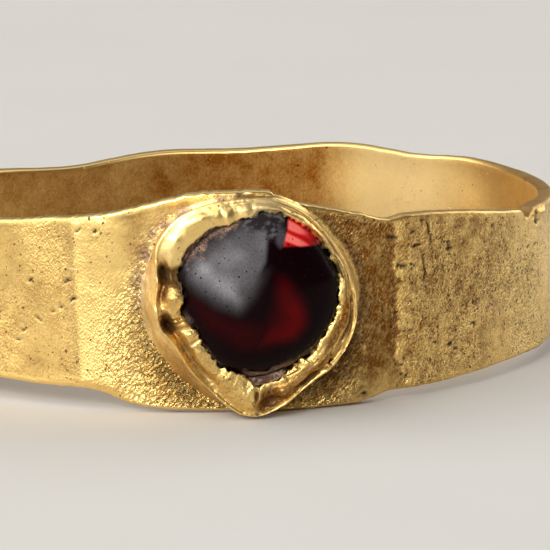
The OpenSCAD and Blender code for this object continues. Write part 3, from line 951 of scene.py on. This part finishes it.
def build_strap(sizes, material):
    """The hammered strap, with its creases, dents, grains, nicks and worn edges."""
    bezel = Bezel(sizes)
    outer_rows, edge_rows, inner_rows = 104, 8, 28
    angles = hoop_angles()[:, None]
    round_in = sizes.edge_round / MM

    # Worn, slightly ragged edges
    rim = on_hoop(angles, bezel.outer, 0.0)
    ragged = 0.018 * swells(rim, 0.9, 5) + 0.012 * swells(rim, 0.3, 6) + 0.006 * swells(rim, 0.1, 7)
    low = np.maximum(smooth(STRAP_ROWS, LOW, angles) + ragged, LEAST_HEIGHT)
    high = smooth(STRAP_ROWS, HIGH, angles) + ragged[::-1]
    share = np.linspace(0, 1, outer_rows)[None, :]
    inner_share = np.linspace(1, 0, inner_rows)[None, :]
    outer_z, inner_z = (
        low + round_in + (high - low - 2 * round_in) * part for part in (share, inner_share)
    )

    face = StrapFace(sizes, bezel, angles, outer_z, share)
    outer_r = bezel.outer + smooth(STRAP_ROWS, OUT, angles) + face.relief
    # The inner face, whose dents never come into the finger hole
    wall = on_hoop(angles, bezel.finger, inner_z)
    dented = 0.03 * (1 + swells(wall, 2.6, 30)) + 0.012 * (1 + swells(wall, 1.1, 31))
    flare = 0.14 * span(angles, 92, 118, 146, 158) * eased(inner_share, 0.4, 1.0)
    inner_r = bezel.finger + 0.012 + dented * np.sin(np.pi * (0.9 * inner_share + 0.05)) + flare

    # Both edges are rounded, a little squarer than a half circle
    arc = np.linspace(0, np.pi, edge_rows + 2)[1:-1][None, :]
    squared = np.sign(np.cos(arc)) * np.abs(np.cos(arc)) ** 0.6
    drop = round_in * (1 - np.abs(np.sin(arc)) ** 0.6)

    def edge_r(start, end):
        """Radii round an edge, from where one face ends to where the other starts."""
        return (start + end) / 2 + (start - end) / 2 * squared

    radius = np.hstack([
        outer_r, edge_r(outer_r[:, -1:], inner_r[:, :1]),
        inner_r, edge_r(inner_r[:, -1:], outer_r[:, :1]),
    ])
    height = np.hstack([outer_z, high - drop, inner_z, low + drop])
    inner_start = outer_rows + edge_rows
    make_piece(
        "hoop_strap", on_hoop(angles, radius, height), ring_faces(*radius.shape, closed=True),
        "band_and_bezel", material,
        strap_readings(
            face, wall, radius.shape[1], slice(0, outer_rows),
            slice(inner_start, inner_start + inner_rows),
        ),
    )


def collar_sections(sizes, bezel, turns):
    """Radii and heights along the collar's sections, and which points are ridge and lip."""
    lip_t = sizes.lip_thickness / MM
    foot, ridge, ridge_h, dip, lip = (
        smooth(COLLAR_ROWS, column, turns) for column in (FOOT, RIDGE, RIDGE_H, DIP, LIP)
    )
    edge, room = (smooth(STONE_ROWS, column, turns) for column in (EDGE, ROOM))

    # Torn edge of the lip, with small teeth every four or five degrees
    rim = bezel.point(turns, 2.2, 0.0)
    teeth = 0.17 * (0.45 - pebbles(rim, 0.17, 50)) + 0.03 * swells(rim, 0.32, 51)
    teeth = teeth * (1 - 0.5 * span(turns, 95, 105, 150, 200))
    behind_teeth = 0.3 * teeth * (1 - span(turns, 78, 88, 150, 160))
    crest_h = bezel.dome(np.minimum(lip / edge, 0.95)) + bezel.gap
    lip_h = bezel.dome(np.minimum(lip / (edge + STONE_SPARE), 0.985)) + 0.6 * bezel.gap
    # Beside the packing the lip stands clear of the stone as a flat, torn sheet
    clear = eased(room, 0.06, 0.24)
    crest_h = crest_h + 0.05 * clear * (turns < 200)
    lip_h = lip_h + (crest_h - 0.01 - lip_h) * clear
    # From the top round to the left the sheet climbs evenly from its ridge to the lip
    climb = 0.3 * np.maximum(crest_h + lip_t - ridge_h, 0) * span(turns, 50, 80, 145, 158)

    band = ridge - lip
    mid_wall = (bezel.finger + bezel.outer) / 2
    wall_h = bezel.wrap(turns, foot, bezel.outer)
    # Radius and height of each knot, from inside the strap up the wall, over the ridge, on to
    # the lip and back under it; counts are the points from each to the next
    knots = [
        (foot, bezel.wrap(turns, foot, mid_wall)),
        (foot + 0.1, bezel.wrap(turns, foot + 0.1, bezel.outer - 0.05)),
        (foot + 0.01, wall_h + 0.14),
        ((foot + ridge) / 2, (wall_h + ridge_h) / 2 + 0.02),
        (ridge, ridge_h - 0.07),
        (ridge - 0.035, ridge_h),
        (ridge - 0.1, ridge_h - 0.02 - 0.25 * dip + climb),
        (ridge - 0.36 * band, (ridge_h + crest_h + lip_t) / 2 - dip),
        (lip + 0.4 * band, crest_h + lip_t),
        (lip + 0.05 + behind_teeth, 0.35 * crest_h + 0.65 * lip_h + 0.95 * lip_t),
        (lip + teeth, lip_h + 0.5 * lip_t),
        (lip + teeth + bezel.gap, lip_h),
        (edge + room, np.minimum(bezel.girdle + 1.1 * room, lip_h - 0.05)),
        (edge + room, bezel.wrap(turns, edge + room, mid_wall)),
    ]
    counts = [2, 5, 8, 8, 4, 5, 14, 14, 9, 3, 2, 3, 4]
    line = curve_through(np.array(knots), counts)
    return line[:, 0].T, line[:, 1].T, sum(counts[:5]), sum(counts[:10])


def collar_lumps(turn, share, band):
    """Rise of the lumps and hollows of the upper side, and of the lap seam at its tip."""
    lumps = np.zeros(turn.shape)
    for middle, place, half_long, half_wide, rise in COLLAR_MARKS:
        apart = (turn - middle + 180) % 360 - 180
        along = np.radians(apart) * LUMP_RADIUS / half_long
        across = (share - place) * np.maximum(band, 0.3) / half_wide
        lumps += rise * np.exp(-((along**2 + across**2) ** 1.4))
    # The left end lies over the right one, and its torn end runs slanting from lip to ridge
    seam = 269.3 - 5 * (1 - share) + 1.2 * swells(share[..., None] * [3, 0, 0], 0.3, 52)
    lapped = eased(turn, 240, 262) * (1 - eased(turn - seam, -0.5, 0.5))
    return lumps + 0.1 * lapped * eased(share, 0.12, 0.5)


def build_collar(sizes, material):
    """The drop-shaped collar: wall, ridge, crumpled upper side, toothed lip and lap seam."""
    bezel = Bezel(sizes)
    turns = np.arange(0, 360, 0.5)
    ridge, dip, lip = (smooth(COLLAR_ROWS, column, turns)[:, None] for column in (RIDGE, DIP, LIP))
    radius, height, ridge_at, lip_at = collar_sections(sizes, bezel, turns)
    steps = np.arange(radius.shape[1])
    share = np.broadcast_to((steps - ridge_at) / (lip_at - ridge_at), radius.shape)
    turn = np.broadcast_to(turns[:, None], radius.shape)
    on_top = span(share, -0.12, 0.02, 1.0, 1.15)
    lumps = collar_lumps(turn, share, ridge - lip)
    height = height + lumps * on_top
    points = bezel.point(turn, radius, height)
    points[..., 2] = np.maximum(points[..., 2], 0.006)
    normals = grid_normals(points)

    # Crumpled sheet, with marks of the burnisher along the lip on the right
    smooth_lip = span(turn, 50, 80, 150, 160)
    drawn = np.stack([radius * 9, height * 3, np.radians(turn) * 2.4 + radius * 1.5], axis=-1)
    crumple = 0.03 * span(turn, 268, 280, 345, 358) * swells(drawn, 0.6, 63)
    for rough, calm, size, seed in (
        (0.03, 0.01, 0.5, 60), (0.018, 0.005, 0.2, 61), (0.011, 0.004, 0.085, 62)
    ):
        crumple += (rough + (calm - rough) * smooth_lip) * swells(points, size, seed)
    crumple *= (1 - eased(steps, lip_at + 1, lip_at + 3)) * (0.7 + 0.3 * on_top)
    points += normals * crumple[..., None]
    points[..., 2] = np.maximum(points[..., 2], LEAST_HEIGHT)

    on_right = np.maximum(eased(turn, 296, 318), 1 - eased(turn, 30, 60))
    on_right = on_right * span(share, 0.06, 0.16, 0.7, 0.92)
    left_side = span(turn, 150, 170, 198, 232) * (1 - on_top)
    surface = height + crumple
    sunk = softened(surface, 6, 6) - surface
    # Soil in the sheet's hollows, painted shade in its dents, and dark strokes on the right
    hollow = np.clip((sunk - 0.015) / 0.08, 0, 0.6) * on_top
    hollow = np.maximum(hollow, np.clip(-lumps / 0.2, 0, 0.2) * on_top)
    strokes = eased(swells(drawn, 0.32, 66), 0.1, 0.5)
    hollow = np.maximum(hollow, 0.65 * strokes * on_right)

    # Film in the trough, and in the hollows where it also paints their shade; darker at the fold
    # near 177 degrees; painted shade right of the tip; film beside the lip at the lower right and
    # left, on the wall at the lower left, and in lines on the right
    lines = eased(swells(drawn, 0.55, 65), -0.2, 0.4)
    tarnish_and_shade = 0.05 + 0.9 * bell(share - 0.32, 0.2) * np.clip(dip / 0.26, 0, 1)
    tarnish_and_shade += 0.65 * np.clip(-lumps / 0.14, 0, 1) * on_top + 0.35 * bell(turn - 177, 6) * on_top
    tarnish_and_shade += 0.3 * span(turn, 268, 274, 300, 320) + (0.42 + 0.6 * lines) * on_right
    tarnish_and_shade += 0.7 * span(turn, 318, 332, 352, 359) * span(share, 0.5, 0.7, 0.93, 0.97)
    tarnish_and_shade += 0.3 * span(turn, 222, 236, 252, 264) * eased(share, 0.3, 0.6) * on_top
    tarnish_and_shade += 0.5 * span(turn, 270.5, 272, 286, 300) * on_top
    tarnish_and_shade += 0.55 * span(turn, 205, 225, 262, 275) * (1 - on_top)
    # Rubbed gold on the ridge and the lip's edge, which also paints the bright highlight lines along
    # them, and rubbed over the top
    rubbed_and_highlit = bell(share, 0.08) + 0.9 * bell(share - 0.96, 0.07)
    rubbed_and_highlit += 0.5 * span(turn, 90, 104, 146, 158) * on_top
    low_wall = bell(height - bezel.wrap(turn, radius, bezel.outer), 0.16) * (1 - on_top)
    violet = 0.6 * span(turn, 92, 106, 180, 215) * low_wall
    violet += 0.3 * left_side * eased(swells(points, 0.16, 67), 0.0, 0.5)
    # Pale clay on the wall, most on the lower left; on the lip's top, pale patches near 88 and 153
    # degrees, the one at 153 a painted highlight
    pale = (0.05 * (1 - on_top) + 0.4 * left_side) * (0.75 + 0.5 * swells(points, 0.3, 64))
    pale += (0.03 * smooth_lip + 0.36 * bell(turn - 88, 13) + 0.14 * bell(turn - 153, 11)) * on_top
    make_piece(
        "collar_sheet", points, ring_faces(*radius.shape, closed=True), "band_and_bezel",
        material,
        {"hollow": hollow, "tarnish_and_shade": tarnish_and_shade, "violet": violet, "rubbed_and_highlit": rubbed_and_highlit,
         "melted": 0 * radius, "pitted": 0.22 - 0.14 * smooth_lip, "pale": pale},
    )


def garnet_readings(points, across, up, turns, shares):
    """What the garnet's material reads: painted lit patches inside it, and dust, a painted sheen of
    the big softbox and crust on its skin.
    Across and up are places from its middle, in mm."""
    window = inside(RED_WINDOW, across, up, 0.035)
    slanting = np.stack([across * 0.5 + up * 0.2, up * 2.4 + across * 1.2, 0 * up], -1)
    streaks = swells(slanting, 0.4, 73)
    brighter = 1 - 0.6 * eased(across, 0.95, 1.5)
    core = bell(from_line(GLOW_CORE, across, up), 0.3)
    glow = (0.06 + 0.11 * core) * inside(RED_GLOW, across, up, 0.24)
    glow = glow * (0.85 + 0.4 * swells(points, 0.5, 74))
    glow = np.maximum(glow, 0.03 * inside(LOW_RED, across, up, 0.28))

    # The painted sheen of the big softbox has a soft outline but for its upper right
    crisp = eased(across, -0.35, 0.05) * eased(up, 0.5, 1.1)
    satin_sheen = inside(SHEEN_OUTLINE, across, up, 0.4) * (1 - crisp) + inside(SHEEN_OUTLINE, across, up, 0.08) * crisp
    satin_sheen = satin_sheen * (0.34 + 0.32 * bell(from_line(SHEEN_STREAK, across, up), 0.26))
    satin_sheen = satin_sheen * (1 + 0.3 * swells(points, 0.3, 78))
    dust_and_sheen = np.maximum(satin_sheen, 0.2 * inside(GREY_SPOT, across, up, 0.08))
    dust_and_sheen += 0.45 * eased(shares, 0.86, 0.99) * eased(swells(points, 0.1, 75), 0.4, 0.75)
    specks = eased(0.055 + 0.05 * swells(points, 1.1, 79) - pebbles(points, 0.3, 76), 0, 0.03)
    near_top = eased(up, 1.5, 1.8) * span(across, -0.7, -0.3, 0.6, 0.75)
    flecks = swells(slanted(points, 35, 1.8), 0.1, 82) + 0.6 * swells(points, 0.05, 83)
    for layer in (0.5 * specks, near_top * (0.06 + 0.26 * eased(flecks, 0.0, 0.8))):
        dust_and_sheen = np.maximum(dust_and_sheen, layer)

    crusted = np.max([most * span(turns, *stretch) for *stretch, most in CRUST_ROWS], axis=0)
    return {
        "window": window * (0.25 + 0.75 * eased(streaks, -0.5, 0.3)),
        "pink": window * (0.02 + 0.7 * eased(streaks, 0.1, 0.55)) * brighter,
        "glow": glow,
        "dust_and_sheen": dust_and_sheen,
        "crust": 0.95 * crusted * eased(shares + 0.06 * swells(points, 0.2, 77), 0.87, 0.95),
    }


def build_garnet(sizes, material):
    """The dome of garnet, with its flat back, worn pits and chipped edge."""
    bezel = Bezel(sizes)
    turns = np.arange(0, 360, 1.0)
    lifts = np.concatenate([np.linspace(0, 60, 90, endpoint=False), np.linspace(60, 89.5, 50)])
    lifts = np.radians(lifts)
    shares = np.concatenate([[0.5, 0.92, 1.0], np.cos(lifts)])[:, None]
    heights = np.concatenate([
        [bezel.back, bezel.back, bezel.back + 0.1],
        bezel.girdle + (bezel.top - bezel.girdle) * np.sin(lifts),
    ])[:, None]
    edge = smooth(STONE_ROWS, EDGE, turns) + STONE_SPARE
    points = bezel.point(turns, edge * shares, heights)
    across, up = points[..., 0] - bezel.x, points[..., 2] - bezel.z
    chips = np.maximum(swells(points, 0.28, 70), 0) + 0.6 * np.maximum(swells(points, 0.12, 71), 0)
    worn = 0.006 * swells(points, 0.5, 72) + 0.05 * eased(shares, 0.86, 0.99) * chips
    points[..., 1] += worn * eased(heights, bezel.girdle, bezel.girdle + 0.1) + 0.004
    points[..., 1] = np.maximum(points[..., 1], -(bezel.outer + bezel.top))

    readings = garnet_readings(points, across, up, turns, shares)
    back, tip = bezel.point(0.0, 0.0, bezel.back), bezel.point(0.0, 0.0, bezel.top - 0.004)
    points, faces = capped_rings(points, back, tip)
    make_piece(
        "garnet_dome", points, faces, "garnet", material,
        {label: np.append(values, [0.0, 0.0]) for label, values in readings.items()},
    )


def build_packing(sizes, material):
    """The packing: a pad behind the stone that rises beside it in two crumbly banks."""
    bezel = Bezel(sizes)
    turns = np.arange(0, 360, 1.0)
    edge, room = (smooth(STONE_ROWS, column, turns) for column in (EDGE, ROOM))
    pad_top = bezel.back - bezel.gap
    banks = np.maximum(span(turns, 104, 112, 156, 164), span(turns, 258, 266, 288, 296))
    shares = np.concatenate([np.linspace(0.05, 0.9, 14), np.linspace(0.905, 1.0, 26)])[:, None]
    radius = (edge + room - bezel.gap) * shares
    beside = eased(radius - edge, bezel.gap * 0.5, bezel.gap * 1.5)
    top = pad_top + (sizes.packing_top / MM - pad_top) * beside * banks
    place = bezel.point(turns, radius, top)
    crumbs = 0.05 * swells(place, 0.16, 80) + 0.02 * swells(place, 0.07, 81) - 0.02
    base = bezel.wrap(turns, radius, bezel.outer + 0.05)
    top = np.maximum(top + crumbs * beside * banks, base + 0.02)
    # The banks lean over the stone's rim, clear of its dome
    lean = 0.045 * banks * eased(beside, 0.7, 0.95) * bell(radius - edge - 0.04, 0.06)
    upper, lower = bezel.point(turns, radius - lean, top), bezel.point(turns, radius, base)
    points, faces = capped_rings(
        np.vstack([lower, upper[::-1]]),
        bezel.point(0.0, 0.0, bezel.wrap(0.0, 0.0, bezel.outer + 0.05)),
        bezel.point(0.0, 0.0, pad_top),
    )
    make_piece("packing_crumb", points, faces, "bedding", material)


def direction(turn, rise):
    """Unit vector from the ring, at a bearing from the front and an angle above the level."""
    return Vector(
        (math.sin(turn) * math.cos(rise), -math.cos(turn) * math.cos(rise), math.sin(rise))
    )


def add_softbox(name, turn, rise, distance, width, height, brightness, target):
    """A rectangular panel light that faces a target; brightness is its radiance."""
    data = bpy.data.lights.new(name, "AREA")
    data.shape = "RECTANGLE"
    data.size, data.size_y = width, height
    data.energy = brightness * math.pi * width * height
    lamp = bpy.data.objects.new(name, data)
    way = direction(math.radians(turn), math.radians(rise))
    lamp.location = target + way * distance
    lamp.rotation_euler = way.to_track_quat("Z", "Y").to_euler()
    lamp.visible_camera = False
    bpy.context.scene.collection.objects.link(lamp)


def build_stage(stage, colours):
    """Floor, camera, softboxes and room light."""
    scene = bpy.context.scene
    half = 900 * MM
    mesh = bpy.data.meshes.new("floor")
    corners = [(-half, -half, 0), (half, -half, 0), (half, half, 0), (-half, half, 0)]
    mesh.from_pydata(corners, [], [(0, 1, 2, 3)])
    floor = bpy.data.objects.new("floor", mesh)
    scene.collection.objects.link(floor)
    floor.data.materials.append(matt_board(colours))

    back = direction(stage.camera_turn, stage.camera_rise)
    right = Vector((math.cos(stage.camera_turn), math.sin(stage.camera_turn), 0))
    up = back.cross(right)
    data = bpy.data.cameras.new("camera")
    data.lens = stage.lens
    data.sensor_width = 36
    data.clip_start = 10 * MM
    data.clip_end = 5
    camera = bpy.data.objects.new("camera", data)
    target = right * stage.aim_right + up * stage.aim_up
    camera.location = target + back * stage.camera_distance
    camera.rotation_euler = back.to_track_quat("Z", "Y").to_euler()
    scene.collection.objects.link(camera)
    scene.camera = camera

    middle = Vector((0, 0, 3 * MM))
    add_softbox("key_softbox", -64, 32, 0.45, 1.35, 0.8, stage.key_light, middle)
    add_softbox("spark_softbox", -30, 28, 0.5, 0.14, 0.14, stage.spark_light, middle)
    add_softbox("low_softbox", -102, 5, 0.5, 0.35, 0.14, stage.low_light, middle)
    add_softbox("side_softbox", 118, 24, 0.5, 0.45, 0.4, stage.side_light, middle)
    add_softbox("back_softbox", 178, 44, 0.5, 0.8, 0.3, stage.back_light, middle)
    world = bpy.data.worlds.new("room")
    world.use_nodes = True
    world.node_tree.nodes["Background"].inputs["Color"].default_value = (1.0, 0.98, 0.95, 1)
    world.node_tree.nodes["Background"].inputs["Strength"].default_value = stage.room_light
    scene.world = world
    scene.view_settings.view_transform = "Standard"


class RING_OT_strap(bpy.types.Operator):
    """Build the hammered strap of the hoop"""

    bl_idname = "ring.strap"
    bl_label = "Hammered strap"

    def execute(self, context):
        settings = context.scene
        material = hammered_gold("gold_hammered_strap", settings.ring_colours, 0.15)
        build_strap(settings.ring_sizes, material)
        return {"FINISHED"}


class RING_OT_collar(bpy.types.Operator):
    """Build the crumpled collar that holds the stone"""

    bl_idname = "ring.collar"
    bl_label = "Collar"

    def execute(self, context):
        settings = context.scene
        material = hammered_gold("gold_beaten_sheet", settings.ring_colours, 0.14)
        build_collar(settings.ring_sizes, material)
        return {"FINISHED"}


class RING_OT_garnet(bpy.types.Operator):
    """Build the domed garnet"""

    bl_idname = "ring.garnet"
    bl_label = "Garnet"

    def execute(self, context):
        settings = context.scene
        build_garnet(settings.ring_sizes, polished_garnet(settings.ring_colours))
        return {"FINISHED"}


class RING_OT_packing(bpy.types.Operator):
    """Build the packing that beds the stone"""

    bl_idname = "ring.packing"
    bl_label = "Packing"

    def execute(self, context):
        settings = context.scene
        build_packing(settings.ring_sizes, earthy_packing(settings.ring_colours))
        return {"FINISHED"}


class RING_OT_stage(bpy.types.Operator):
    """Set up the floor, the camera and the lights"""

    bl_idname = "ring.stage"
    bl_label = "Stage"

    def execute(self, context):
        build_stage(context.scene.ring_stage, context.scene.ring_colours)
        return {"FINISHED"}


class RING_PT_panel(bpy.types.Panel):
    """Buttons and settings of the ring"""

    bl_label = "Gold ring"
    bl_idname = "RING_PT_panel"
    bl_space_type = "VIEW_3D"
    bl_region_type = "UI"
    bl_category = "Gold ring"

    def draw(self, context):
        layout = self.layout
        for name in ("strap", "collar", "garnet", "packing", "stage"):
            layout.operator(f"ring.{name}")
        for group in ("ring_sizes", "ring_colours", "ring_stage"):
            settings = getattr(context.scene, group)
            box = layout.box()
            for name in settings.bl_rna.properties.keys():
                if name not in ("rna_type", "name"):
                    box.prop(settings, name)


CLASSES = (
    RingSizes, RingColours, StageSettings, RING_OT_strap, RING_OT_collar, RING_OT_garnet,
    RING_OT_packing, RING_OT_stage, RING_PT_panel,
)


def register():
    """Adds the classes and their settings."""
    for kind in CLASSES:
        bpy.utils.register_class(kind)
    bpy.types.Scene.ring_sizes = PointerProperty(type=RingSizes)
    bpy.types.Scene.ring_colours = PointerProperty(type=RingColours)
    bpy.types.Scene.ring_stage = PointerProperty(type=StageSettings)


def unregister():
    """Takes the classes and their settings away."""
    del bpy.types.Scene.ring_sizes, bpy.types.Scene.ring_colours, bpy.types.Scene.ring_stage
    for kind in reversed(CLASSES):
        bpy.utils.unregister_class(kind)


def main():
    register()
    bpy.ops.ring.strap()
    bpy.ops.ring.collar()
    bpy.ops.ring.garnet()
    bpy.ops.ring.packing()
    bpy.ops.ring.stage()


if __name__ == "__main__":
    main()
